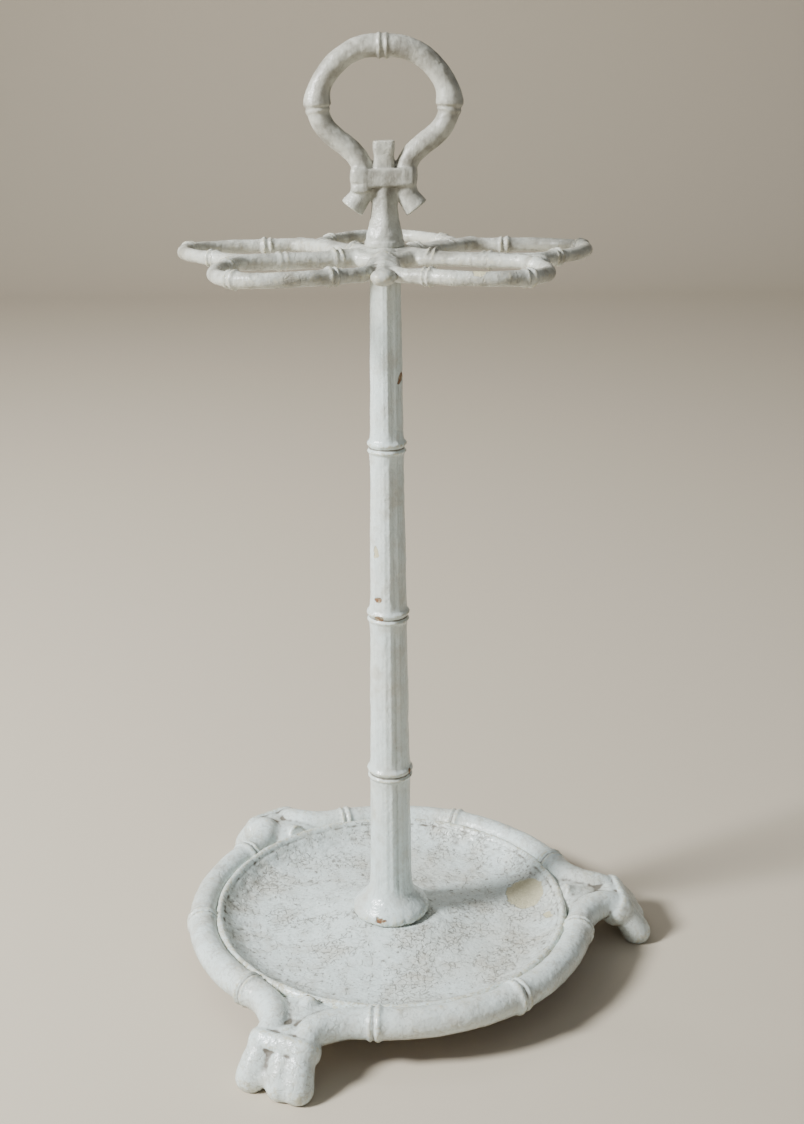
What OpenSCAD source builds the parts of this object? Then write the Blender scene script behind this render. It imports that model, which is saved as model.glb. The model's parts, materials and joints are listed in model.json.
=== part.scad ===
// Free-standing stick and umbrella stand in cast iron, modelled as bamboo canes.
// A round drip pan with a cane rim stands on three bound feet. A tapering cane column
// carries a divider of five loops and a ring handle, and one tie rod clamps them together.
// Millimetres, +Z up. The origin is on the floor, at the centre of the bounding box.

/* [Overall] */
// Height from the floor to the top of the ring handle
stand_h = 646; // [540:1:780]
// Height of the ring handle's top above the centre of the divider rods
handle_rise = 136; // [128:1:160]
// Radius of the circle that the middle of the rim cane follows
rim_ring_r = 140; // [115:1:170]
// Height of the middle of the rim cane above the floor
rim_z = 30; // [27:1:36]
// Direction of the first foot, anticlockwise from +X
foot_azimuth = 6.2; // [-60:0.1:60]

/* [Drip pan] */
// Radius of the rim cane
rim_cane_r = 10.3; // [8:0.1:12.5]
// Depth that the pan's edge bites into the rim cane
rim_bite = 0.6; // [0.3:0.1:1.5]
// Height of the pan's lip above the middle of the rim cane
lip_rise = 6.3; // [4:0.1:9]
// Thickness of the pan
pan_t = 4; // [3:0.1:6]
// Depth of the trough below the column's seat
trough_drop = 8; // [4:0.1:9]
// Radius of the boss under the pan that the nut bears on
boss_r = 18; // [15:0.5:22]

/* [Feet] */
// Half of the angle at the pan's centre between the two canes that run into one foot
foot_half_angle = 17; // [14:0.5:20]
// Radius of the bend that turns a rim cane out into a foot
foot_bend_r = 46.7; // [40:0.1:56]
// Angle that a rim cane turns through on its way into a foot
foot_bend_angle = 54; // [46:0.5:60]
// Distance of the toe centres outside the rim circle
toe_reach = 45; // [38:0.5:52]
// Height of the toe centres above the floor
toe_z = 6; // [4:0.5:8]
// Radius of a toe
toe_r = 9.3; // [7.8:0.1:11.5]
// Sideways distance of the outer toes from the middle toe
toe_spread = 17; // [15:0.5:21]
// Radius of the middle cane that ends as a nub in the fork
nub_cane_r = 7; // [5:0.1:9]
// Width of the binding round a foot, along its canes
foot_band_w = 11; // [8:0.5:14]

/* [Column] */
// Radius of the column at its top
column_top_r = 10; // [9:0.1:13]
// Radius of the column above its foot bead
column_foot_r = 15.5; // [13:0.1:19]
// Radius of the bead at the column's foot
bead_r = 28; // [24:0.5:34]
// Radius of the bore through the column
column_bore_r = 7; // [6.5:0.1:7.5]
// Height of the lowest joint ring above the floor
first_joint_z = 145; // [120:1:170]
// Distance between joint rings
joint_pitch = 120.2; // [100:0.1:145]
// Height that a joint ring stands out from the cane
joint_rise = 1.9; // [1:0.1:3]
// Radius of the furrow that runs up the column between its joints
furrow_r = 2.2; // [1:0.1:3]

/* [Divider] */
// Radius of the loop and spoke canes
divider_cane_r = 4.7; // [3.8:0.1:5.6]
// Distance of the middle of a loop's round end from the column's axis
loop_centre = 92; // [84:0.5:108]
// Radius of a loop's round end, at the middle of its cane
loop_r = 41; // [35:0.5:46]
// Angle of a loop's round end on each side of its tip
loop_wrap = 108; // [104:0.5:112]
// Distance of a spoke's cut end from the column's axis
spoke_end = 108; // [96:0.5:120]
// Radius of the hub
hub_r = 26; // [22:0.5:30]
// Thickness of the hub
hub_t = 12; // [10:0.5:15]
// Length of the spigots that centre the hub and the pan in the column
spigot_l = 8; // [5:0.5:14]

/* [Ring handle] */
// Radius of the handle cane
handle_cane_r = 6.8; // [5.5:0.1:8]
// Radius of the crown bend at the handle's top
crown_bend_r = 50; // [44:0.5:56]
// Radius of the bends round the sides of the ring
side_bend_r = 31; // [28:0.5:35]
// Radius of the bends that turn the canes down into the binding
neck_bend_r = 16.9; // [15:0.1:19]
// Radius of the bends that turn the cut ends out below the binding
stub_bend_r = 20; // [17:0.5:24]
// Thickness of the binding that ties the handle to its stem
tie_t = 1.5; // [1:0.1:2.5]
// Height of the binding
tie_h = 11; // [8:0.5:13]
// Radius of the stem where the binding ties it
stem_neck_r = 6.1; // [5:0.1:6.4]
// Radius of the stem's foot on the hub
stem_foot_r = 12.4; // [11:0.1:15]

/* [Tie rod] */
// Diameter of the tie rod
rod_d = 8; // [6:0.5:8.5]
// Radial clearance of the rod in the hub and the pan
rod_clearance = 0.5; // [0.2:0.1:1]
// Radial clearance of the rod in its threads
thread_clearance = 0.05; // [0.02:0.01:0.1]
// Radial clearance of the spigots in the column
spigot_clearance = 0.3; // [0.1:0.1:0.5]
// Height of the nut
nut_h = 6.5; // [5:0.1:8]
// Width of the nut across its flats
nut_af = 13; // [11:0.1:15]
// Radius of the washer
washer_r = 11; // [10:0.1:14]
// Thickness of the washer
washer_t = 2; // [1:0.1:2.5]
// Length of rod that stands out under the nut
rod_tail = 2; // [1:0.5:4]

/* [Hidden] */
$fn = 48;

paint = [0.86, 0.86, 0.83];
iron = [0.28, 0.22, 0.19];

foot_count = 3;
foot_step = 360 / foot_count;
loop_count = 5;
loop_step = 360 / loop_count;
first_spoke = 270;
half_turn = 180;
eps = 0.01;
seam_rise = 0.1;
seam_l = 2;
ring_edge = 0.45;
ring_groove = 0.3;

// Drip pan: its outer wall is the cylinder that the rim canes and feet are cut back to.
pan_r = rim_ring_r - rim_cane_r + rim_bite;
seat_z = rim_z;
seat_r = bead_r + 2;
lip_z = rim_z + lip_rise;
lip_w = 2.3;
trough_z = seat_z - trough_drop;
trough_out_r = pan_r - 25;
trough_in_r = trough_out_r - 30;
wall_r = pan_r - 8;
boss_z = seat_z - trough_drop;
skirt_z = rim_z - 4.5;

// Rim: joint rings stand this far inside the ends of each arc, and at its middle.
rim_arc = foot_step - 2 * foot_half_angle;
rim_joint_inset = 2.5;

// Foot: the canes' path from the rim circle, in the foot's own plan, +X outward.
fork_start = [
    rim_ring_r * cos(foot_half_angle),
    rim_ring_r * sin(foot_half_angle),
    foot_half_angle - 90
];
fork_path = [[foot_bend_r, foot_bend_angle]];
elbow = state_at(fork_start, fork_path, 1);
toe_x = rim_ring_r + toe_reach;
toe_back = 2;
nub_rise = 3;
nub_start = pan_r + 3;
nub_elbow = elbow.x - 3;
band_half_depth = 12;
band_half_w = toe_spread + 7.5;
band_tilt = 132;
band_x = elbow.x + 5;
band_z = rim_z - 5;

// Where the bounding box of the feet and the rim lies about the column's axis.
toe_places = [
    for (i = [0 : foot_count - 1], side = [-1 : 1])
        turned([toe_x - abs(side) * toe_back, side * toe_spread], foot_azimuth + i * foot_step)
];
rim_out_r = rim_ring_r + rim_cane_r;
x_low = min(-rim_out_r, min([for (p = toe_places) p.x - toe_r]));
x_high = max(rim_out_r, max([for (p = toe_places) p.x + toe_r]));
y_low = min(-rim_out_r, min([for (p = toe_places) p.y - toe_r]));
y_high = max(rim_out_r, max([for (p = toe_places) p.y + toe_r]));
column_x = -(x_low + x_high) / 2;
column_y = -(y_low + y_high) / 2;

// Column and divider levels.
divider_z = stand_h - handle_rise;
hub_bottom = divider_z - divider_cane_r - 0.3;
hub_top = hub_bottom + hub_t;
column_top = hub_bottom;
bead_top = seat_z + 22;
joint_margin = 25;
joint_levels = [
    for (z = first_joint_z; z < column_top - joint_margin; z = z + joint_pitch) z
];
furrow_azimuth = 292;

// Divider: a loop's path starts at one leg's inner end and runs round its tip to the other.
leg_reach = 42;
leg_angle = loop_wrap - 90;
loop_start = [
    loop_centre + loop_r * cos(loop_wrap) - leg_reach * cos(leg_angle),
    -loop_r * sin(loop_wrap) + leg_reach * sin(leg_angle),
    -leg_angle
];
loop_path = [[0, leg_reach], [loop_r, 2 * loop_wrap], [0, leg_reach]];
loop_joint_angle = 75;
spoke_joints = [32, 68];
spoke_bulb = 0.8;
spoke_bulb_l = 8;

// Handle: the right half of its path, from the crown's end down to the cut end, and then
// the whole path, from the left cut end over the crown to the right one.
handle_top = stand_h - handle_cane_r;
crown_turn = 31;
heel_turn = 52;
stub_turn = 49;
tie_run = 6;
stem_gap = 0.4;
crown_end = after([0, handle_top, 0], [crown_bend_r, -crown_turn]);
side_bend = [side_bend_r, crown_turn - 90 - heel_turn];
side_end = after(crown_end, side_bend);
neck_x = stem_neck_r + stem_gap + handle_cane_r;
waist_l = (side_end[0] - neck_bend_r * (1 - cos(heel_turn)) - neck_x) / sin(heel_turn);
half_path = [
    side_bend,
    [0, waist_l],
    [neck_bend_r, heel_turn],
    [0, tie_run],
    [stub_bend_r, stub_turn]
];
half_end = state_at(crown_end, half_path, len(half_path));
handle_start = [-half_end[0], half_end[1], -half_end[2]];
handle_path = concat(
    [for (i = [len(half_path) - 1 : -1 : 0]) half_path[i]],
    [[crown_bend_r, -2 * crown_turn]],
    half_path
);
tie_state = state_at(crown_end, half_path, 3);
side_joint = after(crown_end, [side_bend_r, crown_turn - 90]);
tie_x = tie_state[0];
tie_z = tie_state[1] - tie_run / 2 + 1;
tie_gap = 0.6;
stem_top = tie_z + 23;
stem_bore_l = 26;

// Tie rod.
rod_r = rod_d / 2;
rod_hole_r = rod_r + rod_clearance;
thread_r = rod_r + thread_clearance;
washer_z = boss_z - washer_t;
nut_z = washer_z - nut_h;
rod_bottom = nut_z - rod_tail;
rod_top = hub_top + stem_bore_l - 3;
rod_chamfer = 0.8;

// A point turned about the origin.
function turned(p, a) = [p.x * cos(a) - p.y * sin(a), p.x * sin(a) + p.y * cos(a)];

// The state [x, y, heading] after one piece of a path. A piece is [0, length] or [radius, turn].
function after(s, piece) =
    piece[0] == 0
    ? [s[0] + piece[1] * cos(s[2]), s[1] + piece[1] * sin(s[2]), s[2]]
    : let (r = piece[0] * sign(piece[1]), h = s[2] + piece[1])
      [s[0] + r * (sin(h) - sin(s[2])), s[1] + r * (cos(s[2]) - cos(h)), h];

function state_at(start, path, n) = n == 0 ? start : after(state_at(start, path, n - 1), path[n - 1]);

// Radius of the plain column at a height.
function column_r(z) =
    column_foot_r + (column_top_r - column_foot_r) * (z - bead_top) / (column_top - bead_top);

// Outline points of one joint ring on the column, from below.
function joint_outline(z) = [
    [column_r(z - 8), z - 8],
    [column_r(z) + 0.55 * joint_rise, z - 4],
    [column_r(z) + 0.8 * joint_rise, z - 2.6],
    [column_r(z) + 0.6 * joint_rise, z - 1.2],
    [column_r(z) + 0.15 * joint_rise, z],
    [column_r(z) + 0.9 * joint_rise, z + 1.6],
    [column_r(z) + joint_rise, z + 3.2],
    [column_r(z) + 0.7 * joint_rise, z + 5],
    [column_r(z + 11), z + 11]
];

// All the points of a list of outlines, in one list.
function joined(lists) = [for (points = lists, p = points) p];

module at_column(z = 0) {
    translate([column_x, column_y, z]) children();
}

// A round cane along a path in the XY plane. A short sleeve, a hair larger, joins each two pieces.
module cane_along(start, path, r) {
    for (i = [0 : len(path) - 1]) {
        s = state_at(start, path, i);
        if (i > 0) translate([s[0], s[1], 0]) rotate([0, 0, s[2]]) rotate([0, 90, 0])
            cylinder(h = seam_l, r = r + seam_rise, center = true);
        piece = path[i];
        if (piece[0] == 0) {
            translate([s[0], s[1], 0]) rotate([0, 0, s[2]]) rotate([0, 90, 0]) cylinder(h = piece[1], r = r);
        } else {
            bend_r = piece[0] * sign(piece[1]);
            centre = [s[0] - bend_r * sin(s[2]), s[1] + bend_r * cos(s[2]), 0];
            first = piece[1] > 0 ? s[2] - 90 : s[2] + 90 + piece[1];
            translate(centre) rotate([0, 0, first])
                rotate_extrude(angle = abs(piece[1])) translate([piece[0], 0]) circle(r = r);
        }
    }
}

// The double ring of a bamboo joint on a cane of radius r, along +X, its thin ring first.
module joint_ring(r, rise) {
    rotate([0, 90, 0]) rotate_extrude() polygon([
        [0, -3.2],
        [r + ring_edge, -3.2],
        [r + 0.7 * rise, -2],
        [r + 0.7 * rise, -1],
        [r + ring_groove, 0],
        [r + rise, 1],
        [r + rise, 2.4],
        [r + ring_edge, 4],
        [0, 4]
    ]);
}

module joint_on(state, r, rise) {
    translate([state[0], state[1], 0]) rotate([0, 0, state[2]]) joint_ring(r, rise);
}

// Drip pan with its raised lip, its seat for the column, and the boss for the nut.
module base_pan() {
    color(paint) at_column() {
        rotate_extrude() polygon([
            [rod_hole_r, boss_z],
            [rod_hole_r, seat_z],
            [seat_r, seat_z],
            [seat_r + 15, seat_z - 0.35 * trough_drop],
            [trough_in_r, trough_z],
            [trough_out_r, trough_z + 0.5],
            [wall_r, seat_z - 0.5],
            [pan_r - lip_w - 0.5, lip_z - 1],
            [pan_r - lip_w, lip_z],
            [pan_r - 0.6, lip_z],
            [pan_r, lip_z - 0.6],
            [pan_r, skirt_z],
            [wall_r, seat_z - 1.2 * pan_t],
            [trough_out_r, trough_z + 0.5 - pan_t],
            [trough_in_r, trough_z - pan_t],
            [seat_r + 15, seat_z - 0.35 * trough_drop - pan_t],
            [boss_r + 3, seat_z - 1.5 * pan_t],
            [boss_r, boss_z]
        ]);
        spigot(seat_z, spigot_l);
    }
}

// Centring ring that stands in the column's bore, from one level over a length.
module spigot(z, l) {
    translate([0, 0, z]) difference() {
        translate([0, 0, -eps]) cylinder(h = l + eps, r = column_bore_r - spigot_clearance);
        translate([0, 0, -1]) cylinder(h = l + 2, r = rod_hole_r);
    }
}

// The cylinder that the pan takes out of whatever meets its edge.
module pan_cutter() {
    cylinder(h = lip_z * 2, r = pan_r);
}

module base_rim(index) {
    start = foot_azimuth + (index - 1) * foot_step + foot_half_angle;
    color(paint) at_column() difference() {
        translate([0, 0, rim_z]) union() {
            rotate([0, 0, start]) rotate_extrude(angle = rim_arc)
                translate([rim_ring_r, 0]) circle(r = rim_cane_r);
            for (a = [start + rim_joint_inset, start + rim_arc / 2, start + rim_arc - rim_joint_inset])
                rotate([0, 0, a]) joint_on([rim_ring_r, 0, 90], rim_cane_r, joint_rise);
        }
        pan_cutter();
    }
}

// One toe: a cane that runs down from its elbow to the floor and is rounded at its tip.
module toe(from, to, r) {
    run = to - from;
    translate(from) rotate([0, 0, atan2(run.y, run.x)])
        rotate([0, acos(run.z / norm(run)), 0]) rotate_extrude() {
            square([r, norm(run)]);
            intersection() {
                translate([0, norm(run)]) circle(r = r);
                square([r, norm(run) + r]);
            }
        }
}

module foot_band() {
    translate([band_x, 0, band_z]) rotate([0, band_tilt, 0]) translate([0, 0, -foot_band_w / 2]) {
        linear_extrude(height = foot_band_w) union() {
            square([2 * band_half_depth, 2 * (band_half_w - band_half_depth)], center = true);
            for (side = [-1, 1])
                translate([0, side * (band_half_w - band_half_depth)]) circle(r = band_half_depth);
        }
    }
}

// A foot: two rim canes and a middle cane, bound together and splayed into three toes.
module base_foot(index) {
    color(paint) at_column() rotate([0, 0, foot_azimuth + (index - 1) * foot_step]) difference() {
        union() {
            for (side = [-1, 1]) {
                translate([0, 0, rim_z]) mirror([0, side < 0 ? 1 : 0, 0])
                    cane_along(fork_start, fork_path, rim_cane_r);
                translate([elbow.x, side * elbow.y, rim_z]) sphere(r = rim_cane_r + seam_rise);
                toe([elbow.x, side * elbow.y, rim_z], [toe_x - toe_back, side * toe_spread, toe_z], toe_r);
            }
            translate([nub_start, 0, rim_z + nub_rise]) rotate([0, 90, 0])
                cylinder(h = nub_elbow - nub_start, r = nub_cane_r);
            toe([nub_elbow, 0, rim_z], [toe_x, 0, toe_z], toe_r - 0.5);
            foot_band();
        }
        pan_cutter();
        translate([0, 0, -2 * toe_r]) cylinder(h = 2 * toe_r, r = 2 * toe_x);
    }
}

// Hollow column with its foot bead and joint rings, and a furrow up its front.
module column() {
    outline = concat(
        [
            [column_bore_r, seat_z],
            [bead_r - 1.5, seat_z],
            [bead_r, seat_z + 2],
            [bead_r, seat_z + 5],
            [bead_r - 2, seat_z + 8],
            [bead_r - 6, seat_z + 10.5],
            [column_foot_r + 2.5, seat_z + 14],
            [column_foot_r + 0.6, seat_z + 18],
            [column_foot_r, bead_top]
        ],
        joined([for (z = joint_levels) joint_outline(z)]),
        [
            [column_top_r, column_top],
            [column_bore_r, column_top]
        ]
    );
    color(paint) at_column() difference() {
        rotate_extrude() polygon(outline);
        rotate([0, 0, furrow_azimuth]) furrow();
    }
}

// Cutter for the furrow: it leans in with the column's taper, and its ends are square.
module furrow() {
    depth = 0.8;
    low_z = bead_top + 6;
    high_z = column_top - 6;
    lean = atan2(column_r(low_z) - column_r(high_z), high_z - low_z);
    translate([column_r(low_z) + furrow_r - depth, 0, low_z])
        rotate([0, -lean, 0]) cylinder(h = high_z - low_z, r = furrow_r);
}

module divider_hub() {
    color(paint) at_column() {
        rotate_extrude() polygon([
            [rod_hole_r, hub_bottom],
            [hub_r - 2, hub_bottom],
            [hub_r, hub_bottom + 2],
            [hub_r, divider_z + 2],
            [hub_r - 3, hub_top - 1.5],
            [stem_foot_r + 3, hub_top],
            [rod_hole_r, hub_top]
        ]);
        translate([0, 0, 2 * hub_bottom]) mirror([0, 0, 1]) spigot(hub_bottom, spigot_l);
    }
}

// One plain spoke cane on the +X side, from the column's axis outward.
module spoke_cane(l) {
    rotate([0, 90, 0]) cylinder(h = l, r = divider_cane_r);
}

module hub_cutter() {
    translate([0, 0, -hub_t]) cylinder(h = 2 * hub_t, r = hub_r);
}

module divider_spoke(index) {
    a = first_spoke + (index - 1) * loop_step;
    color(paint) at_column(divider_z) rotate([0, 0, a]) difference() {
        union() {
            spoke_cane(spoke_end - 2);
            for (x = spoke_joints) joint_on([x, 0, half_turn], divider_cane_r, joint_rise * 0.6);
            translate([spoke_end - spoke_bulb_l, 0, 0]) rotate([0, 90, 0]) rotate_extrude() polygon([
                [0, 0],
                [divider_cane_r, 0],
                [divider_cane_r + spoke_bulb, spoke_bulb_l * 0.4],
                [divider_cane_r + spoke_bulb, spoke_bulb_l * 0.7],
                [divider_cane_r - 0.8, spoke_bulb_l],
                [0, spoke_bulb_l]
            ]);
        }
        hub_cutter();
    }
}

// A loop runs from one spoke round to the next. Both legs are scooped to seat on the spokes.
module divider_loop(index) {
    a = first_spoke + (index - 0.5) * loop_step;
    color(paint) at_column(divider_z) rotate([0, 0, a]) difference() {
        union() {
            cane_along(loop_start, loop_path, divider_cane_r);
            for (turn = [-loop_joint_angle, 0, loop_joint_angle])
                joint_on(
                    [loop_centre + loop_r * cos(turn), loop_r * sin(turn), turn + 90],
                    divider_cane_r,
                    joint_rise * 0.6
                );
        }
        for (side = [-1, 1]) rotate([0, 0, side * loop_step / 2]) spoke_cutter(side);
        hub_cutter();
    }
}

// Takes the spoke, and all that lies beyond its middle, out of a loop's leg.
module spoke_cutter(side) {
    spoke_cane(spoke_end);
    for (x = spoke_joints) joint_on([x, 0, half_turn], divider_cane_r, joint_rise * 0.6);
    translate([0, side < 0 ? -2 * divider_cane_r : 0, -2 * divider_cane_r])
        cube([spoke_end, 2 * divider_cane_r, 4 * divider_cane_r]);
}

// Stem between the hub and the ring, tapped for the rod.
module handle_stem() {
    color(paint) at_column() difference() {
        rotate_extrude() polygon([
            [0, hub_top],
            [stem_foot_r - 1, hub_top],
            [stem_foot_r, hub_top + 1.2],
            [stem_foot_r, hub_top + 4],
            [0.8 * stem_foot_r, hub_top + 11],
            [0.67 * stem_foot_r, hub_top + 19],
            [0.61 * stem_foot_r, hub_top + 26],
            [stem_neck_r, tie_z - tie_h / 2],
            [stem_neck_r, tie_z + tie_h / 2],
            [stem_neck_r + 0.3, stem_top - 2],
            [stem_neck_r - 0.8, stem_top],
            [0, stem_top]
        ]);
        translate([0, 0, hub_top - 1]) cylinder(h = stem_bore_l + 1, r = thread_r);
    }
}

// The ring handle: one cane on each side, from the crown to a cut end below the binding.
module handle_ring() {
    crown_rise = joint_rise / 2;
    color(paint) at_column() rotate([90, 0, 0]) {
        cane_along(handle_start, handle_path, handle_cane_r);
        for (side = [0, 1]) mirror([side, 0, 0])
            joint_on(side_joint, handle_cane_r, joint_rise);
        joint_on([0, handle_top - crown_rise, 0], handle_cane_r, crown_rise);
    }
}

// Flat oval outline round the stem and both canes.
module tie_outline(grow) {
    r = handle_cane_r + grow;
    square([2 * tie_x, 2 * r], center = true);
    for (side = [-1, 1]) translate([side * tie_x, 0]) circle(r = r);
}

module handle_binding() {
    color(paint) at_column(tie_z - tie_h / 2) linear_extrude(height = tie_h) difference() {
        tie_outline(tie_gap + tie_t);
        tie_outline(tie_gap);
    }
}

module tie_rod() {
    color(iron) at_column() rotate_extrude() polygon([
        [0, rod_bottom],
        [rod_r - rod_chamfer, rod_bottom],
        [rod_r, rod_bottom + rod_chamfer],
        [rod_r, rod_top - rod_chamfer],
        [rod_r - rod_chamfer, rod_top],
        [0, rod_top]
    ]);
}

module tie_nut() {
    color(iron) at_column(nut_z) difference() {
        cylinder(h = nut_h, r = nut_af / sqrt(3), $fn = 6);
        translate([0, 0, -1]) cylinder(h = nut_h + 2, r = thread_r);
    }
}

module tie_washer() {
    color(iron) at_column(washer_z) difference() {
        cylinder(h = washer_t, r = washer_r);
        translate([0, 0, -1]) cylinder(h = washer_t + 2, r = rod_hole_r);
    }
}

base_pan();
base_rim(1);  // base_rim_1
base_rim(2);  // base_rim_2
base_rim(3);  // base_rim_3
base_foot(1);  // base_foot_1
base_foot(2);  // base_foot_2
base_foot(3);  // base_foot_3
column();
divider_hub();
divider_spoke(1);  // divider_spoke_1
divider_spoke(2);  // divider_spoke_2
divider_spoke(3);  // divider_spoke_3
divider_spoke(4);  // divider_spoke_4
divider_spoke(5);  // divider_spoke_5
divider_loop(1);  // divider_loop_1
divider_loop(2);  // divider_loop_2
divider_loop(3);  // divider_loop_3
divider_loop(4);  // divider_loop_4
divider_loop(5);  // divider_loop_5
handle_stem();
handle_ring();
handle_binding();
tie_rod();
tie_nut();
tie_washer();
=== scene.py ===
"""Builds the looks of a cast iron stick and umbrella stand, shaped as bamboo canes and painted off-white.

Castings are shaped in millimetres about the column's axis and then put where the frame has them.
"""

import json
import math

import bpy
import numpy as np
from bpy.props import FloatProperty, FloatVectorProperty, PointerProperty
from mathutils import Matrix, Vector


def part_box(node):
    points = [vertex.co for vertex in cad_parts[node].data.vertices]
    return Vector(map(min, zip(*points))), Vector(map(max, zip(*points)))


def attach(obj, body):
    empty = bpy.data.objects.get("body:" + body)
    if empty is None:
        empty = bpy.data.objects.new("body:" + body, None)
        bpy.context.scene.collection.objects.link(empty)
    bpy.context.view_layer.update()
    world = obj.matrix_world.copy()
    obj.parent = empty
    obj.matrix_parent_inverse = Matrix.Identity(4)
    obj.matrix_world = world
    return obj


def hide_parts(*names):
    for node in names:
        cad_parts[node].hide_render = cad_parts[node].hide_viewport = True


bl_info = {
    "name": "Cane Stand",
    "version": (1, 0, 0),
    "blender": (4, 5, 0),
    "location": "View3D > Sidebar > Cane Stand",
    "description": "Shapes and paints the castings of a stick and umbrella stand",
    "category": "Object",
}

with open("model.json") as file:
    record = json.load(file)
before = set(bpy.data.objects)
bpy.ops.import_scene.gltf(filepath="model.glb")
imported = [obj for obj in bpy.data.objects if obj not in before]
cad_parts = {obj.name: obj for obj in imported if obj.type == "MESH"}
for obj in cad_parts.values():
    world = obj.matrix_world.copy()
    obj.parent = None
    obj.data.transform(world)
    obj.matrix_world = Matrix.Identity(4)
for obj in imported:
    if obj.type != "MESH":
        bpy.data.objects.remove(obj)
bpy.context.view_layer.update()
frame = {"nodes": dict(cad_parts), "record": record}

MM = 0.001
BODY = "root"


# Places from the frame, in millimetres.


def node_box(node):
    """Lowest and highest corner of a node, in millimetres."""
    low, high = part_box(node)
    return np.array(low) / MM, np.array(high) / MM


COLUMN_LOW, COLUMN_HIGH = node_box("column")
AXIS = np.array([*((COLUMN_LOW + COLUMN_HIGH) / 2)[:2], 0.0])
PAN_LOW, PAN_HIGH = node_box("base_pan")
RIM_LOW, RIM_HIGH = node_box("base_rim_1")
HUB_LOW, HUB_HIGH = node_box("divider_hub")
LOOP_LOW, LOOP_HIGH = node_box("divider_loop_1")
_, RING_HIGH = node_box("handle_ring")
SEAT_Z = COLUMN_LOW[2]
PAN_R = (PAN_HIGH - PAN_LOW)[0] / 2
RIM_Z = (RIM_LOW + RIM_HIGH)[2] / 2
DIVIDER_Z = (LOOP_LOW + LOOP_HIGH)[2] / 2
COLUMN_TOP = COLUMN_HIGH[2]
HUB_TOP = HUB_HIGH[2]
RING_TOP = RING_HIGH[2]
SOLES = [m["pos_m"] for m in frame["record"]["mounts"] if m["name"].startswith("foot_sole")]
FOOT_AZIMUTHS = sorted(
    math.degrees(math.atan2(y / MM - AXIS[1], x / MM - AXIS[0])) % 360 for x, y, _ in SOLES
)
FOOT_STEP = 360 / len(FOOT_AZIMUTHS)
LOOPS = 5
LOOP_STEP = 360 / LOOPS
FIRST_SPOKE = 270


class StandSizes(bpy.types.PropertyGroup):
    """Sizes of the canes and of the marks on them."""

    rim_ring: FloatProperty(
        name="Rim circle",
        description="Radius of the circle that the middle of the rim cane follows",
        default=(PAN_R + 9.7) * MM,
        min=0.1,
        max=0.2,
        unit="LENGTH",
    )
    rim_cane: FloatProperty(
        name="Rim cane",
        description="Radius of the rim cane",
        default=0.0103,
        min=0.008,
        max=0.013,
        unit="LENGTH",
    )
    divider_cane: FloatProperty(
        name="Divider cane",
        description="Radius of the divider's canes",
        default=0.0047,
        min=0.0035,
        max=0.006,
        unit="LENGTH",
    )
    handle_cane: FloatProperty(
        name="Handle cane",
        description="Radius of the ring handle's cane",
        default=0.0068,
        min=0.005,
        max=0.009,
        unit="LENGTH",
    )
    column_top: FloatProperty(
        name="Column top",
        description="Radius of the column at its top",
        default=0.0100,
        min=0.008,
        max=0.013,
        unit="LENGTH",
    )
    column_foot: FloatProperty(
        name="Column foot",
        description="Radius of the column above its bead",
        default=0.0155,
        min=0.012,
        max=0.02,
        unit="LENGTH",
    )
    joint_rise: FloatProperty(
        name="Joint rise",
        description="Height of a bamboo joint above its cane",
        default=0.0019,
        min=0.0005,
        max=0.003,
        unit="LENGTH",
    )
    relief: FloatProperty(
        name="Cast relief",
        description="Depth of the uneven cast and painted surface",
        default=0.00030,
        min=0.0,
        max=0.001,
        unit="LENGTH",
    )


class StandColours(bpy.types.PropertyGroup):
    """Colours of the old paint, of what has settled on it, of the painted shade it is given, and of the
    iron.
    """

    paint: FloatVectorProperty(
        name="Paint",
        description="The cool off-white of the paint",
        default=(0.725, 0.815, 0.795),
        min=0,
        max=1,
        subtype="COLOR",
    )
    # The aged colour is also mixed in by height, where it is partly painted shade on the upper parts.
    aged: FloatVectorProperty(
        name="Aged paint",
        description="Paint that has yellowed",
        default=(0.66, 0.64, 0.54),
        min=0,
        max=1,
        subtype="COLOR",
    )
    # The grime colour also stands for painted shade: it darkens hollows, corners and the upper parts.
    grime_and_shade: FloatVectorProperty(
        name="Grime",
        description="Dirt in the joints, cracks and corners",
        default=(0.17, 0.155, 0.125),
        min=0,
        max=1,
        subtype="COLOR",
    )
    undercoat: FloatVectorProperty(
        name="Undercoat",
        description="Cream undercoat that shows where the paint has flaked",
        default=(0.60, 0.56, 0.38),
        min=0,
        max=1,
        subtype="COLOR",
    )
    rust: FloatVectorProperty(
        name="Rust",
        description="Rust in chips and under edges",
        default=(0.19, 0.085, 0.035),
        min=0,
        max=1,
        subtype="COLOR",
    )
    iron: FloatVectorProperty(
        name="Iron",
        description="Unpainted iron of the tie rod, nut and washer",
        default=(0.085, 0.065, 0.055),
        min=0,
        max=1,
        subtype="COLOR",
    )


def sizes():
    return bpy.context.scene.stand_sizes


def colours():
    return bpy.context.scene.stand_colours


# Shaping: distances to a casting's surface on a grid, and a net of quads drawn over it.

FAR = 6.0


def soft_min(a, b, k):
    """The nearer of two surfaces, with a fillet of about k where they meet."""
    if k <= 0:
        return np.minimum(a, b)
    h = np.clip(0.5 + 0.5 * (b - a) / k, 0, 1)
    return b + (a - b) * h - k * h * (1 - h)


def soft_max(a, b, k):
    """What lies inside both surfaces, with an edge rounded by about k."""
    return -soft_min(-a, -b, k)


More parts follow.
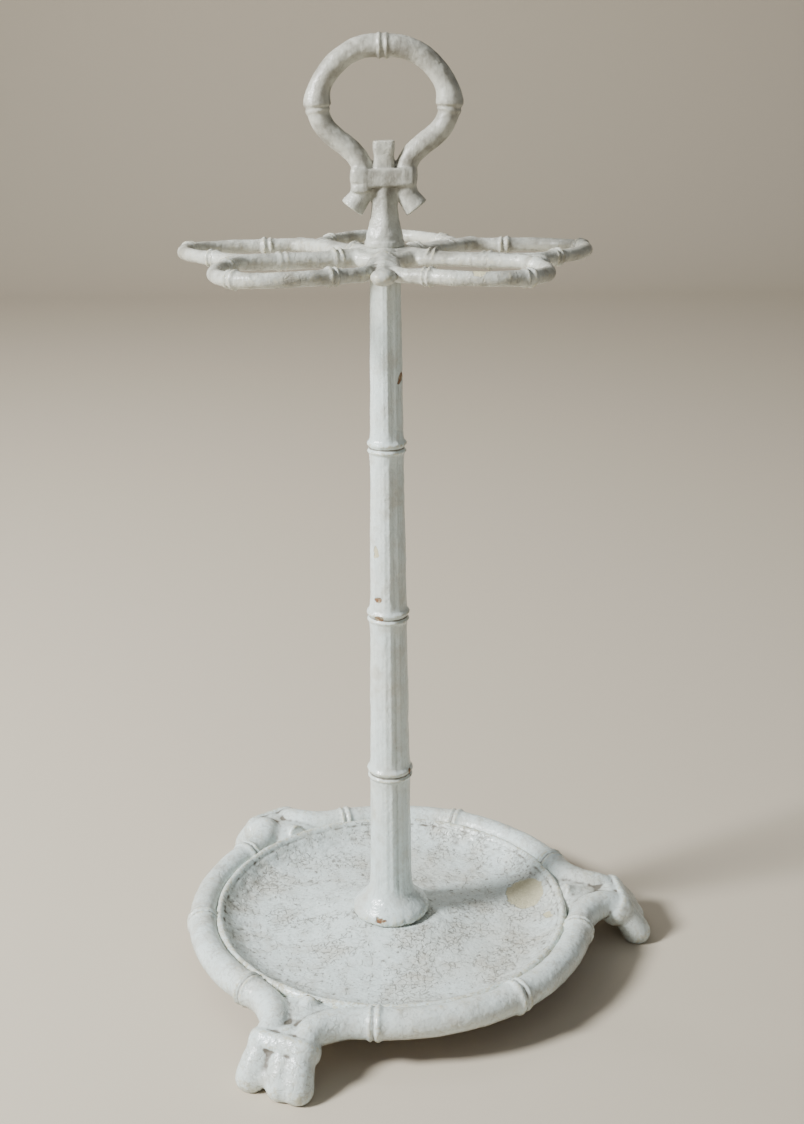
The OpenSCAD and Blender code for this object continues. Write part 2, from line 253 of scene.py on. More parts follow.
class Pattern:
    """A grid of distances to a casting's surface, that canes and bosses are added to."""

    def __init__(self, low, high, cell):
        self.cell = cell * 1
        self.low = np.array(low, float)
        count = np.ceil((np.array(high, float) - self.low) / self.cell).astype(int) + 1
        self.field = np.full(count, FAR, np.float32)

    def window(self, low, high):
        """The slices of the grid that hold the box from low to high."""
        last = np.array(self.field.shape)
        first = np.clip(np.floor((low - self.low) / self.cell).astype(int), 0, last)
        stop = np.clip(np.ceil((high - self.low) / self.cell).astype(int) + 1, 0, last)
        return tuple(slice(a, b) for a, b in zip(first, stop))

    def axes(self, window):
        """Coordinates of a window's grid lines, shaped to broadcast."""
        lines = [self.low[i] + self.cell * np.arange(w.start, w.stop) for i, w in enumerate(window)]
        return [a.astype(np.float32) for a in np.meshgrid(*lines, indexing="ij", sparse=True)]

    def add(self, low, high, distance, soft):
        """Adds a solid whose distance function is given, with fillets of about soft."""
        window = self.window(np.array(low, float), np.array(high, float))
        shape = distance(*self.axes(window))
        self.field[window] = soft_min(self.field[window], shape, soft)

    def trim(self, distance, soft):
        """Keeps only what lies inside a distance function."""
        window = tuple(slice(0, n) for n in self.field.shape)
        self.field = soft_max(self.field, distance(*self.axes(window)), soft).astype(np.float32)

    def cane(self, points, radii, soft=2.0, cuts=(), edge=1.2):
        """Adds a cane along points. Each cut is a point and an outward normal, squared off there."""
        margin = radii.max() + FAR
        window = self.window(points.min(0) - margin, points.max(0) + margin)
        x, y, z = self.axes(window)
        shape = np.broadcast_shapes(x.shape, y.shape, z.shape)
        near = np.full(shape, margin + FAR, np.float32)
        wide = np.zeros(shape, np.float32)
        start = np.array([w.start for w in window])
        last = np.array(shape)
        for p, r in zip(points, radii):
            at = (p - self.low) / self.cell - start
            reach = (r + FAR * 0.7) / self.cell
            a = np.clip(np.floor(at - reach).astype(int), 0, last)
            b = np.clip(np.ceil(at + reach).astype(int) + 1, 0, last)
            i, j, k = (slice(m, n) for m, n in zip(a, b))
            d = np.sqrt((x[i] - p[0]) ** 2 + (y[:, j] - p[1]) ** 2 + (z[:, :, k] - p[2]) ** 2)
            closer = d < near[i, j, k]
            near[i, j, k][closer] = d[closer]
            wide[i, j, k][closer] = r
        near = np.minimum(near - wide, FAR)
        for point, normal, reach in cuts:
            gap = [x - point[0], y - point[1], z - point[2]]
            plane = gap[0] * normal[0] + gap[1] * normal[1] + gap[2] * normal[2]
            close = gap[0] ** 2 + gap[1] ** 2 + gap[2] ** 2 < reach**2
            near = np.where(close, soft_max(near, plane, edge), near)
        self.field[window] = soft_min(self.field[window], near, soft)

    def net(self):
        """Vertices and quads of the surface, one vertex in each cell that it passes through."""
        field = self.field
        inside = field < 0
        shape = np.array(field.shape) - 1
        corners = [(i, j, k) for i in (0, 1) for j in (0, 1) for k in (0, 1)]
        count = np.zeros(shape, np.uint8)
        for i, j, k in corners:
            count += inside[i : i + shape[0], j : j + shape[1], k : k + shape[2]]
        crossed = np.argwhere((count > 0) & (count < len(corners)))
        number = np.full(shape, -1, np.int32)
        number[tuple(crossed.T)] = np.arange(len(crossed))
        value = {c: field[tuple((crossed + c).T)] for c in corners}
        total = np.zeros((len(crossed), 3))
        hits = np.zeros(len(crossed))
        for c in corners:
            for axis in range(3):
                if c[axis]:
                    continue
                d = tuple(v + (n == axis) for n, v in enumerate(c))
                cut = (value[c] < 0) != (value[d] < 0)
                t = value[c][cut] / (value[c][cut] - value[d][cut])
                spot = np.tile(np.array(c, float), (len(t), 1))
                spot[:, axis] += t
                total[cut] += spot
                hits[cut] += 1
        verts = self.low + (crossed + total / hits[:, None]) * self.cell
        quads = []
        for axis in range(3):
            u, v = (axis + 1) % 3, (axis + 2) % 3
            ahead = np.roll(inside, -1, axis)
            change = inside != ahead
            keep = [slice(1, -1)] * 3
            keep[axis] = slice(0, -1)
            edges = np.argwhere(change[tuple(keep)]) + [s.start for s in keep]
            out = ~ahead[tuple(edges.T)]
            du, dv = np.eye(3, dtype=int)[u], np.eye(3, dtype=int)[v]
            ring = np.stack(
                [number[tuple((edges - s).T)] for s in (du + dv, dv, 0 * du, du)], axis=1
            )
            ring[~out] = ring[~out][:, ::-1]
            quads.append(ring)
        return verts, np.concatenate(quads)


def smooth_path(keys, step=0.5):
    """Evenly spaced points on a smooth curve through the keys."""
    keys = np.array(keys, float)
    ends = [2 * keys[0] - keys[1], 2 * keys[-1] - keys[-2]]
    knots = np.vstack([ends[0], keys, ends[1]])
    t = np.linspace(0, 1, 24, endpoint=False)[:, None]
    spans = []
    for a, b, c, d in zip(knots, knots[1:], knots[2:], knots[3:]):
        cubic = -a + 3 * b - 3 * c + d
        square = 2 * a - 5 * b + 4 * c - d
        spans.append(0.5 * (2 * b + (c - a) * t + square * t**2 + cubic * t**3))
    dense = np.vstack([*spans, keys[-1:]])
    run = np.concatenate([[0], np.cumsum(np.linalg.norm(np.diff(dense, axis=0), axis=1))])
    at = np.linspace(0, run[-1], max(int(run[-1] / step), 2) + 1)
    return np.stack([np.interp(at, run, dense[:, i]) for i in range(3)], axis=1), at


def turned(points, azimuth):
    """Points turned about the column's axis, in degrees."""
    c, s = math.cos(math.radians(azimuth)), math.sin(math.radians(azimuth))
    points = np.array(points, float)
    x, y = points[..., 0], points[..., 1]
    return np.stack([x * c - y * s, x * s + y * c, points[..., 2]], axis=-1)


def joint(along, rise, width=1.0):
    """How far a bamboo joint stands out at a distance from its groove: a thin ring, then a thick one."""
    s = along / width
    thin = 0.62 * np.exp(-(((s + 2.1) / 0.95) ** 2))
    thick = 0.80 * np.exp(-(((s - 2.2) / 1.5) ** 2))
    swell = 0.34 * np.exp(-((s / 6.0) ** 2))
    groove = 0.25 * np.exp(-(((s + 0.2) / 0.7) ** 2))
    return rise * (thin + thick + swell - groove)


def nearest(points, target):
    """Number of the point nearest to a target."""
    return int(np.argmin(np.linalg.norm(points - np.array(target), axis=1)))


def lumps(points, size, seed):
    """Smooth random relief between -1 and 1, with lumps of about the given size."""
    grid = points / size
    base = np.floor(grid).astype(int)
    part = grid - base
    part = part * part * (3 - 2 * part)
    base -= base.min(0)
    lattice = np.random.default_rng(seed).uniform(-1, 1, base.max(0) + 2)
    total = np.zeros(len(points))
    for i in (0, 1):
        for j in (0, 1):
            for k in (0, 1):
                weight = np.ones(len(points))
                for axis, corner in enumerate((i, j, k)):
                    weight = weight * (part[:, axis] if corner else 1 - part[:, axis])
                total += weight * lattice[tuple((base + (i, j, k)).T)]
    return total


def tube_faces(rings, around):
    """Quads over a grid of rings that is closed both ways."""
    r, a = np.meshgrid(np.arange(rings), np.arange(around), indexing="ij")
    up, on = (r + 1) % rings, (a + 1) % around
    quads = [r * around + a, r * around + on, up * around + on, up * around + a]
    return np.stack(quads, axis=-1).reshape(-1, 4)


def revolved(radii, levels, around):
    """Vertices and quads of a closed outline turned about the column's axis."""
    angle = np.linspace(0, 2 * math.pi, around, endpoint=False)
    radii = radii if radii.ndim == 2 else np.repeat(radii[:, None], around, axis=1)
    x, y = radii * np.cos(angle), radii * np.sin(angle)
    z = np.repeat(levels[:, None], around, axis=1)
    return np.stack([x, y, z], axis=-1).reshape(-1, 3), tube_faces(len(levels), around)


def neighbour_mean(values, edges, count):
    """Each vertex's mean over the vertices that its edges lead to."""
    n = len(values)
    a, b = edges.T
    columns = [
        np.bincount(a, values[b, i], n) + np.bincount(b, values[a, i], n)
        for i in range(values.shape[1])
    ]
    return np.stack(columns, axis=1) / count[:, None]


def settle(mesh, verts):
    """Moves a mesh's vertices to where they are given, about the column's axis."""
    mesh.vertices.foreach_set("co", ((verts + AXIS) * MM).ravel())
    mesh.update()


def hollows(verts, normals, edges, rounds):
    """How far each point lies below (+) or above (-) its surroundings, in millimetres."""
    count = np.bincount(edges.ravel(), minlength=len(verts)).astype(float)
    calm = verts
    for _ in range(rounds):
        calm = 0.5 * calm + 0.5 * neighbour_mean(calm, edges, count)
    return np.einsum("ij,ij->i", calm - verts, normals)


def normals_of(mesh):
    normals = np.empty(len(mesh.vertices) * 3)
    mesh.vertices.foreach_get("normal", normals)
    return normals.reshape(-1, 3)


# Cast relief: size of its lumps in millimetres, and their share.
RELIEF_LUMPS = ((17, 1.0), (6.5, 0.55), (2.4, 0.4))
# Marks for the paint (grime and painted shade in hollows, wear on edges), and how many rounds of
# smoothing tell a hollow of that width.
HOLLOW_ROUNDS = {"groove": 8, "corner": 45}


def make_casting(name, verts, faces, seed, nodes, material, calm=1.0):
    """Makes a piece with an uneven cast surface, and marks its hollows and edges for the paint."""
    mesh = bpy.data.meshes.new(name)
    mesh.from_pydata(((verts + AXIS) * MM).tolist(), [], faces.tolist())
    mesh.update()
    relief = sizes().relief / MM * calm
    normals = normals_of(mesh)
    uneven = sum(share * lumps(verts, s, seed + n) for n, (s, share) in enumerate(RELIEF_LUMPS))
    verts = verts + normals * (relief * uneven)[:, None]
    settle(mesh, verts)
    normals = normals_of(mesh)
    edges = np.empty(len(mesh.edges) * 2, np.int32)
    mesh.edges.foreach_get("vertices", edges)
    edges = edges.reshape(-1, 2)
    marks = {label: hollows(verts, normals, edges, n) for label, n in HOLLOW_ROUNDS.items()}
    marks["under"] = -normals[:, 2]
    for label, values in marks.items():
        layer = mesh.attributes.new(label, "FLOAT", "POINT")
        layer.data.foreach_set("value", values.astype(np.float32))
    mesh.polygons.foreach_set("use_smooth", np.ones(len(mesh.polygons), bool))
    piece = bpy.data.objects.new(name, mesh)
    bpy.context.collection.objects.link(piece)
    mesh.materials.append(material)
    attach(piece, BODY)
    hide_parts(*nodes)
    return piece


# Paint: shader maths written as Python expressions.


class Wire:
    """A value socket that takes part in Python arithmetic."""

    def __init__(self, pot, socket):
        self.pot = pot
        self.socket = socket

    def maths(self, operation, *others):
        inputs = dict(enumerate((self, *others)))
        return self.pot.wire("ShaderNodeMath", {"operation": operation}, inputs)

    def __add__(self, other):
        return self.maths("ADD", other)

    __radd__ = __add__

    def __sub__(self, other):
        return self.maths("SUBTRACT", other)

    def __rsub__(self, other):
        return self.pot.wire("ShaderNodeMath", {"operation": "SUBTRACT"}, {0: other, 1: self})

    def __mul__(self, other):
        return self.maths("MULTIPLY", other)

    __rmul__ = __mul__

    def over(self, other):
        return self.maths("MAXIMUM", other)

    def clamped(self):
        node = self.pot.node("ShaderNodeClamp", {}, {"Value": self})
        return Wire(self.pot, node.outputs[0])

    def ramp(self, low, high):
        """0 at low and 1 at high, with smooth ends."""
        inputs = {"Value": self, "From Min": low, "From Max": high}
        return self.pot.wire("ShaderNodeMapRange", {"interpolation_type": "SMOOTHSTEP"}, inputs)


class Pot:
    """The node tree of one material."""

    def __init__(self, name):
        self.material = bpy.data.materials.new(name)
        self.material.use_nodes = True
        self.tree = self.material.node_tree
        self.tree.nodes.clear()

    def node(self, kind, settings, inputs):
        """Adds a node: its settings first, then the values or links of its sockets."""
        node = self.tree.nodes.new(kind)
        for key, value in settings.items():
            setattr(node, key, value)
        for key, value in inputs.items():
            socket = node.inputs[key]
            if isinstance(value, Wire):
                self.tree.links.new(value.socket, socket)
            else:
                socket.default_value = value
        return node

    def wire(self, kind, settings, inputs, output=0):
        return Wire(self, self.node(kind, settings, inputs).outputs[output])

    def mix(self, factor, a, b):
        """Colour a, going over to colour b."""
        inputs = {"Factor": factor, 6: a, 7: b}
        return self.wire("ShaderNodeMix", {"data_type": "RGBA"}, inputs, 2)

    def mark(self, name):
        return self.wire("ShaderNodeAttribute", {"attribute_name": name}, {}, "Fac")

    def place(self):
        """Position in millimetres from the column's axis."""
        spot = self.wire("ShaderNodeTexCoord", {}, {}, "Object")
        scaled = self.wire("ShaderNodeVectorMath", {"operation": "SCALE"}, {0: spot, "Scale": 1 / MM})
        return self.wire("ShaderNodeVectorMath", {"operation": "SUBTRACT"}, {0: scaled, 1: tuple(AXIS)})

    def noise(self, at, size, detail=3, roughness=0.6):
        """Noise with lumps of about the given size in millimetres."""
        inputs = {"Vector": at, "Scale": 1 / size, "Detail": detail, "Roughness": roughness}
        return self.wire("ShaderNodeTexNoise", {}, inputs, "Fac")

    def cracks(self, at, size):
        """Distance to the nearest crack, in millimetres, in a net of cells of the given size."""
        settings = {"feature": "DISTANCE_TO_EDGE"}
        return self.wire("ShaderNodeTexVoronoi", settings, {"Vector": at, "Scale": 1 / size}) * size

    def specks(self, at, size):
        """Distance to the nearest speck, in parts of the given spacing."""
        return self.wire("ShaderNodeTexVoronoi", {}, {"Vector": at, "Scale": 1 / size}, "Distance")

    def warped(self, at, size, depth):
        """Positions shaken by a colour noise, for uneven edges."""
        inputs = {"Vector": at, "Scale": 1 / size, "Detail": 2}
        shake = self.wire("ShaderNodeTexNoise", {}, inputs, "Color")
        half = self.wire("ShaderNodeVectorMath", {"operation": "SUBTRACT"}, {0: shake, 1: (0.5,) * 3})
        far = self.wire("ShaderNodeVectorMath", {"operation": "SCALE"}, {0: half, "Scale": depth})
        return self.wire("ShaderNodeVectorMath", {"operation": "ADD"}, {0: at, 1: far})

    def stretched(self, at, factors):
        """Positions scaled along each axis, for marks that run one way."""
        inputs = {0: at, 1: factors}
        return self.wire("ShaderNodeVectorMath", {"operation": "MULTIPLY"}, inputs)

    def patch(self, at, centre, spread, edge):
        """1 inside an oval patch, 0 outside it. spread is its half size along each axis."""
        off = self.wire("ShaderNodeVectorMath", {"operation": "SUBTRACT"}, {0: at, 1: centre})
        inputs = {0: off, 1: tuple(1 / s for s in spread)}
        part = self.wire("ShaderNodeVectorMath", {"operation": "MULTIPLY"}, inputs)
        far = self.wire("ShaderNodeVectorMath", {"operation": "LENGTH"}, {0: part}, "Value")
        return 1 - far.ramp(1 - edge, 1 + edge)

    def patches(self, at, places, edge):
        """1 inside any of the oval patches, given by centre and half size."""
        total = None
        for centre, spread in places:
            one = self.patch(at, centre, spread, edge)
            total = one if total is None else total.over(one)
        return total


def rgba(colour):
    return (*colour, 1.0)


# Marks on the paint: centre and half size in millimetres about the column's axis.

RUST_CHIPS = (
    ((10.4, -4.0, 433), (2.2, 4.0, 3.4)),
    ((-7.0, -11.0, 279), (2.6, 4.0, 1.8)),
    ((-6.0, -12.0, 266), (3.0, 4.0, 1.3)),
    ((14.5, -6.5, 147), (1.6, 4.0, 2.6)),
    ((-7.0, -26.5, 36.5), (5.0, 4.0, 2.0)),
    ((-57.0, -120.0, 44), (5.0, 5.0, 5.0)),
)
CREAM_CHIPS = (
    ((103, 29, 24), (15.0, 19.0, 12.0)),
    ((-8.0, -9.0, 314), (2.2, 4.0, 3.6)),
    ((55, -118, 515), (5.0, 4.0, 2.2)),
    ((118, -6, 27), (4.0, 5.0, 5.0)),
)


def paint_material(name, crackle, speckle):
    """Old off-white paint over cast iron: aged, crackled, chipped, dirty in its hollows, with painted
    shade in its hollows and on its upper parts.
    """
    tint = colours()
    pot = Pot(name)
    at = pot.place()
    groove, corner = pot.mark("groove"), pot.mark("corner")
    broad = pot.noise(at, 60, 2)
    cloud = pot.noise(at, 14, 4)
    fine = pot.noise(at, 2.6, 3, 0.7)
    yellowed = (broad.ramp(0.42, 0.7) * 0.45 + cloud.ramp(0.45, 0.75) * 0.4).clamped()
    colour = pot.mix(yellowed, rgba(tint.paint), rgba(tint.aged))
    # Fine cracks in patches, and a coarser net between them.
    shaken = pot.warped(at, 4.0, 3.0)
    small, large = pot.cracks(shaken, 5.0), pot.cracks(shaken, 11)
    where = pot.noise(at, 30, 3)
    broken = fine.ramp(0.40, 0.56)
    lines = (1 - small.ramp(0.12, 0.5)) * where.ramp(0.46, 0.58) * broken
    lines = lines.over((1 - large.ramp(0.12, 0.55)) * cloud.ramp(0.42, 0.58) * broken)
    lines = lines * crackle
    # Specks of dirt of two sizes, thrown unevenly.
    dots = 1 - pot.specks(pot.warped(at, 3.0, 3.0), 3.0).ramp(0.14, 0.34)
    dashes = 1 - pot.specks(pot.warped(at, 2.0, 4.0), 6.5).ramp(0.10, 0.24)
    specks = (dots * fine.ramp(0.46, 0.58)).over(dashes * cloud.ramp(0.38, 0.5)) * speckle
    # Grime settles in grooves and corners, and hardly on edges. The darkening of grooves and corners is
    # also painted shade, where a hollow's shade falls.
    grime_and_hollow_shade = groove.ramp(0.03, 0.3) * 0.9 + corner.ramp(0.06, 0.9) * 0.5
    grime_and_hollow_shade = (grime_and_hollow_shade * (0.2 + fine * 0.6 + cloud * 0.8)).clamped()
    scuffs = pot.noise(pot.warped(at, 7.0, 9.0), 1.7, 3).ramp(0.57, 0.68) * cloud.ramp(0.46, 0.62) * 0.22
    streaks = pot.noise(pot.stretched(at, (1, 1, 0.1)), 2.6, 3).ramp(0.54, 0.72) * 0.3
    # The divider and the handle are greyer, yellower and darker than the base, the more so the higher
    # they are: partly grime and yellowing from the hands that touch them, partly painted shade where the
    # upper parts get less light.
    level = pot.wire("ShaderNodeSeparateXYZ", {}, {0: at}, "Z")
    upper_grime_and_shade = level.ramp(DIVIDER_Z - 30, DIVIDER_Z)
    film_and_height_shade = (cloud.ramp(0.46, 0.78) * 0.26).over(streaks).over(scuffs)
    # Film and darkening by height: partly grime, partly painted shade on the upper parts.
    top_grime_and_shade = level.ramp(DIVIDER_Z + 10, DIVIDER_Z + 60)
    film_and_height_shade = film_and_height_shade + upper_grime_and_shade * (0.14 + cloud.ramp(0.34, 0.66) * 0.34) + top_grime_and_shade * 0.13
    # Mixing toward the aged colour by height darkens the upper parts: partly yellowing, partly painted
    # shade.
    colour = pot.mix(upper_grime_and_shade * 0.6 + top_grime_and_shade * 0.2, colour, rgba(tint.aged))
    # Cracks, specks and film are dirt. The darker hollows and the darker upper parts are partly painted
    # shade.
    dirt_and_shade = grime_and_hollow_shade.over(lines * 0.95).over(specks * 0.9).over(film_and_height_shade)
    colour = pot.mix(dirt_and_shade, colour, rgba(tint.grime_and_shade))
    # Worn edges go yellow-brown, and the base's underside has lost its paint.
    worn = (0 - groove).ramp(0.06, 0.24) * fine.ramp(0.45, 0.58)
    colour = pot.mix(worn * 0.6, colour, rgba(tint.undercoat))
    bare = pot.mark("under").ramp(0.45, 0.85) * fine.ramp(0.38, 0.52) * (1 - level.ramp(34, 44))
    # Chips down to the undercoat, and chips down to the rust.
    ragged = pot.warped(pot.warped(at, 9.0, 9.0), 2.0, 2.6)
    cream = pot.patches(ragged, CREAM_CHIPS, 0.05)
    rust = pot.patches(ragged, RUST_CHIPS, 0.12)
    rust = rust.over(bare)
    colour = pot.mix(cream, colour, rgba(tint.undercoat))
    rusty = pot.mix(fine.ramp(0.42, 0.62) * 0.5, rgba(tint.rust), rgba(tint.undercoat))
    colour = pot.mix(rust, colour, rusty)
    waves = pot.noise(at, 6.0, 2) * 1.3 + fine * 0.5 + pot.noise(at, 0.8, 2) * 0.15
    height = waves - lines * 0.7 - cream * 1.2 - rust * 1.4
    bump = pot.wire("ShaderNodeBump", {}, {"Strength": 0.75, "Distance": 0.0007, "Height": height})
    rough = 0.12 + dirt_and_shade * 0.4 + cloud * 0.12 + rust * 0.4
    shader = pot.wire(
        "ShaderNodeBsdfPrincipled",
        {},
        {"Base Color": colour, "Roughness": rough.clamped(), "Normal": bump, "IOR": 1.5},
    )
    pot.node("ShaderNodeOutputMaterial", {}, {"Surface": shader})
    return pot.material


def iron_material():
    """Bare iron, dark and spotted with rust."""
    tint = colours()
    pot = Pot("rusty_iron")
    at = pot.place()
    bloom = pot.noise(at, 5, 4).ramp(0.42, 0.6)
    fine = pot.noise(at, 0.9, 3)
    colour = pot.mix(bloom, rgba(tint.iron), rgba(tint.rust))
    bump = pot.wire(
        "ShaderNodeBump", {}, {"Strength": 0.5, "Distance": 0.0004, "Height": bloom * 0.6 + fine}
    )
    shader = pot.wire(
        "ShaderNodeBsdfPrincipled",
        {},
        {
            "Base Color": colour,
            "Roughness": 0.45 + bloom * 0.4,
            "Metallic": 1 - bloom,
            "Normal": bump,
        },
    )
    pot.node("ShaderNodeOutputMaterial", {}, {"Surface": shader})
    return pot.material


def casting_paint(part, crackle, speckle):
    """The paint of one casting, more or less crackled and speckled."""
    return paint_material(f"old_{part}_paint", crackle, speckle)


# Base casting: rim canes that run down into the feet.

# A rim cane's way from a toe up to the rim circle: distance out, sideways, height.
TOE_KEYS = (
    (184.5, 16.8, 7.0),
    (180.5, 15.6, 14.0),
    (174.0, 13.8, 22.5),
    (166.0, 12.8, 27.6),
    (157.5, 13.8, 30.2),
    (149.0, 18.6, 30.2),
    (141.8, 26.2, 30.0),
    (136.8, 34.4, 30.0),
)
# The middle cane, from its cut nub at the pan down to the middle toe.
MIDDLE_KEYS = (
    (131.5, 0, 34.4),
    (140.0, 0, 32.2),
    (152.0, 0, 29.4),
    (166.0, 0.8, 27.2),
    (175.0, 2.6, 21.0),
    (181.5, 4.4, 14.0),
    (186.5, 5.6, 6.8),
)
RIM_JOINTS = (19.6, 61.8, 100.4)
RIM_JOINT_WIDTH = 1.25
# The part of the rim circle that the feet leave free: from one foot, to the next, and step, in degrees.
ARC_FROM, ARC_SHORT, ARC_STEP = 22, 21, 4.0
# Middle of a foot's binding: distance out, sideways, height.
BINDING = (169.5, 0.0, 24.5)
SOLE_SOFT = 1.0
RIM_CELL = 1.12


def foot_side(side):
    """The keys of the rim cane on one side of a foot."""
    return [(u, side * v, z + RIM_Z - 30) for u, v, z in TOE_KEYS]


def grows(out, start, length):
    """0 up to a distance out, and 1 from a length further on."""
    return np.clip((out - start) / length, 0, 1)


def from_foot(x, y, azimuth):
    """Distance out and sideways, along a foot's middle line."""
    c, s = math.cos(math.radians(azimuth)), math.sin(math.radians(azimuth))
    return x * c + y * s, y * c - x * s


def tipped(out, up, tilt):
    """Distance along and across a line that runs down at a tilt."""
    along = out * math.cos(tilt) - up * math.sin(tilt)
    return along, out * math.sin(tilt) + up * math.cos(tilt)


def binding_distance(azimuth):
    """The flat binding round a foot's three canes."""
    tilt = math.radians(44)
    half_w, half_d, half_l, crown = 24.4, 11.8, 5.6, 0.9

    def distance(x, y, z):
        out, side = from_foot(x, y, azimuth)
        along, across = tipped(out - BINDING[0], z - BINDING[2], tilt)
        beyond = np.maximum(np.abs(side) - (half_w - half_d), 0)
        pill = np.sqrt(beyond**2 + across**2) - half_d
        bulge = crown * (1 - np.clip(along / half_l, -1, 1) ** 2)
        return soft_max(pill - bulge, np.abs(along) - half_l, 2.6)

    return distance


def toe_bed_distance(azimuth):
    """The iron between the toes, that leaves only grooves between them."""
    tilt, half_l, half_w, half_d = math.radians(45), 12.5, 15.0, 6.8
    middle_out, middle_z = 175.5, 19.0

    def distance(x, y, z):
        out, side = from_foot(x, y, azimuth)
        along, across = tipped(out - middle_out, z - middle_z, tilt)
        far_on = np.maximum(np.abs(along) - half_l, 0)
        far_off = np.maximum(np.abs(side) - half_w, 0)
        return np.sqrt(far_on**2 + far_off**2 + across**2) - half_d

    return distance


def fork_distance(azimuth):
    """The iron that fills the fork between the pan, the nub and the two rim canes."""
    centre, spread = (143.0, 0.0, 27.5), (20.0, 30.0, 8.5)

    def distance(x, y, z):
        out, side = from_foot(x, y, azimuth)
        out = (out - centre[0]) / spread[0]
        side = side / spread[1]
        up = (z - centre[2]) / spread[2]
        return (np.sqrt(out**2 + side**2 + up**2) - 1) * min(spread)

    return distance


class STAND_OT_base(bpy.types.Operator):
    """Shape the base casting: three rim canes, bound together and splayed into toes at each foot"""

    bl_idname = "stand.base"
    bl_label = "Rim and Feet"

    def execute(self, context):
        reach = sizes().rim_ring / MM + 60
        low, high = (-reach, -reach, -3), (reach, reach, RIM_Z + 18)
        pattern = Pattern(low, high, RIM_CELL)
        for azimuth in FOOT_AZIMUTHS:
            self.rim_cane(pattern, azimuth)
            self.middle_cane(pattern, azimuth)
            # Each part with a box about the binding's middle that holds it.
            heart = turned(BINDING, azimuth)
            pattern.add(heart - 64, heart + 64, fork_distance(azimuth), 3.0)
            pattern.add(heart - 40, heart + 40, toe_bed_distance(azimuth), 3.2)
            pattern.add(heart - 36, heart + 36, binding_distance(azimuth), 1.6)
        pattern.trim(lambda x, y, z: -z, SOLE_SOFT)
        verts, faces = pattern.net()
        nodes = [f"base_{part}_{n}" for part in ("rim", "foot") for n in (1, 2, 3)]
        paint = casting_paint("rim", 0.42, 0.4)
        make_casting("rim_and_feet", verts, faces, 11, nodes, paint)
        return {"FINISHED"}

    @staticmethod
    def rim_cane(pattern, azimuth):
        """One cane of the rim, with the toes at both its ends."""
        size = sizes()
        ring = size.rim_ring / MM
        arc = np.arange(ARC_FROM, FOOT_STEP - ARC_SHORT, ARC_STEP)
        circle = [(*turned([ring, 0, 0], a)[:2], RIM_Z) for a in arc]
        keys = [
            *turned(foot_side(1), azimuth),
            *turned(circle, azimuth),
            *turned(foot_side(-1)[::-1], azimuth + FOOT_STEP),
        ]
        points, run = smooth_path(keys)
        out = np.hypot(points[:, 0], points[:, 1])
        radii = size.rim_cane / MM - 1.0 * grows(out, 150, 18) + 1.2 * grows(out, 172, 12)
        for a in RIM_JOINTS:
            spot = turned([ring, 0, RIM_Z], azimuth + a)
            facing = 1 if a < FOOT_STEP / 2 else -1
            at = run[nearest(points, spot)]
            radii = radii + joint(facing * (run - at), size.joint_rise / MM, RIM_JOINT_WIDTH)
        pattern.cane(points, radii, soft=3.2)

    @staticmethod
    def middle_cane(pattern, azimuth):
        """The cane that starts as a cut nub at the pan and ends as the middle toe."""
        middle, _ = smooth_path(turned(MIDDLE_KEYS, azimuth))
        out = np.hypot(middle[:, 0], middle[:, 1])
        nub = 6.4 - 3.2 * grows(out, 134, 12)
        radii = nub + 6.4 * grows(out, 154, 14)
        inward = middle[0] - middle[4]
        cut = (middle[0], inward / np.linalg.norm(inward), 14)
        pattern.cane(middle, radii, soft=3.2, cuts=(cut,))


# Drip pan: heights of its upper side and of its underside at distances from the axis.

PAN_TOP = (
    (20, 30.0), (27, 30.0), (31, 29.8), (38, 28.7), (47, 26.9), (60, 24.5), (75, 22.9), (90, 22.4),
    (103, 23.0), (112, 25.0), (119, 28.6), (122.4, 31.4), (124.2, 32.8), (125.4, 34.6), (127.4, 36.0),
    (129.4, 35.4), (130.4, 34.0), (131.0, 32.4),
)
PAN_UNDER = (
    (131.6, 28.0), (128, 26.0), (119, 24.0), (105, 18.8), (75, 18.2), (45, 22.0), (24, 24.0),
    (20, 23.6), (18.4, 22.6),
)
# Rim radius and seat height of the keys above.
PAN_KEYS_R, PAN_KEYS_Z = 130.3, 30
PAN_BORE, PAN_BOSS_R, PAN_BOSS_H = 4.5, 18, 8


def outline(points, step):
    """Evenly spaced points on a smooth outline of (radius, height) keys."""
    curve, _ = smooth_path([(r, 0, z) for r, z in points], step)
    return curve[:, [0, 2]]


class STAND_OT_pan(bpy.types.Operator):
    """Shape the drip pan, with its lip and its boss"""

    bl_idname = "stand.pan"
    bl_label = "Drip Pan"

    def execute(self, context):
        shift = np.array([PAN_R - PAN_KEYS_R, SEAT_Z - PAN_KEYS_Z])
        top = outline(np.array(PAN_TOP) + shift, 0.9)
        under = outline(np.array(PAN_UNDER) + shift, 1.6)
        boss_z = max(PAN_LOW[2] + 4, SEAT_Z - PAN_BOSS_H)
        boss = [[PAN_BOSS_R, boss_z], [PAN_BORE, boss_z]]
        section = np.vstack([[PAN_BORE, SEAT_Z], top, under, boss])
        verts, faces = revolved(section[::-1, 0], section[::-1, 1], 360)
        paint = casting_paint("drip_pan", 0.8, 0.9)
        make_casting("drip_pan", verts, faces, 23, ["base_pan"], paint, 1.6)
        return {"FINISHED"}


# Column: bead, joints and furrows.

BEAD = (
    (0, 26.2), (1, 27.4), (3, 28.2), (5.5, 27.8), (8.5, 25.8), (11.5, 22.6), (14.5, 19.6),
    (18, 17.3), (23, 16.0), (30, 15.5),
)
BEAD_H = 22
COLUMN_JOINTS = (145.0, 265.2, 385.4)
COLUMN_BORE = 7.0
COLUMN_AROUND = 128
